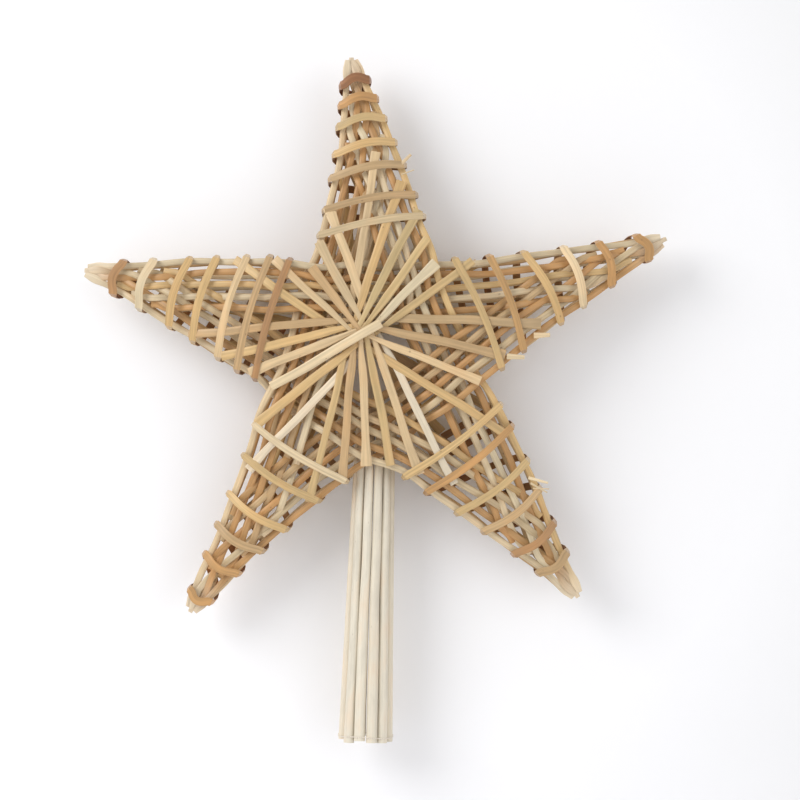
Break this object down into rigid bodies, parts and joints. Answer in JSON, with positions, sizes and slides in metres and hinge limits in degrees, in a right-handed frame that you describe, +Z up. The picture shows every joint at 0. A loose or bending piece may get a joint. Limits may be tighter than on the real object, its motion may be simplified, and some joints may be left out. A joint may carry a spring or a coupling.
{
  "type": "straw star tree topper",
  "caption": "Woven straw star, puffed and hollow, on a hollow stem of straight straws that slips over the tip of a tree.",
  "frame": {"origin": "middle of the stem's open mouth, where the topper slips over a tree's tip", "axes": "+Z up along the stem, -Y out of the star's front, +X to the right seen from the front"},
  "size_m": [0.2157, 0.0366, 0.2537],
  "materials": {
    "band_straw": "satin whole wheat straw, pale gold",
    "spoke_straw": "satin flattened wheat straw, cream to gold",
    "ribbon_straw": "satin split wheat straw, tan",
    "stem_straw": "satin whole wheat straw, pale cream",
    "thread": "matt cotton sewing thread"
  },
  "bodies": {
    "root": {"front_band_right_to_left": "band_straw", "back_band_right_to_left": "band_straw", "ribbon_right_arm": "ribbon_straw", "front_band_top_to_lower_left": "band_straw", "back_band_top_to_lower_left": "band_straw", "ribbon_top_arm": "ribbon_straw", "front_band_left_to_lower_right": "band_straw", "back_band_left_to_lower_right": "band_straw", "ribbon_left_arm": "ribbon_straw", "front_band_lower_left_to_right": "band_straw", "back_band_lower_left_to_right": "band_straw", "ribbon_lower_left_arm": "ribbon_straw", "front_band_lower_right_to_top": "band_straw", "back_band_lower_right_to_top": "band_straw", "ribbon_lower_right_arm": "ribbon_straw", "front_spokes": "spoke_straw", "back_spokes": "spoke_straw", "stem_straw_01": "stem_straw", "stem_straw_02": "stem_straw", "stem_straw_03": "stem_straw", "stem_straw_04": "stem_straw", "stem_straw_05": "stem_straw", "stem_straw_06": "stem_straw", "stem_straw_07": "stem_straw", "stem_straw_08": "stem_straw", "stem_straw_09": "stem_straw", "stem_straw_10": "stem_straw", "stem_straw_11": "stem_straw", "stem_straw_12": "stem_straw", "mouth_thread": "thread", "neck_thread": "thread"}
  },
  "joints": []
}
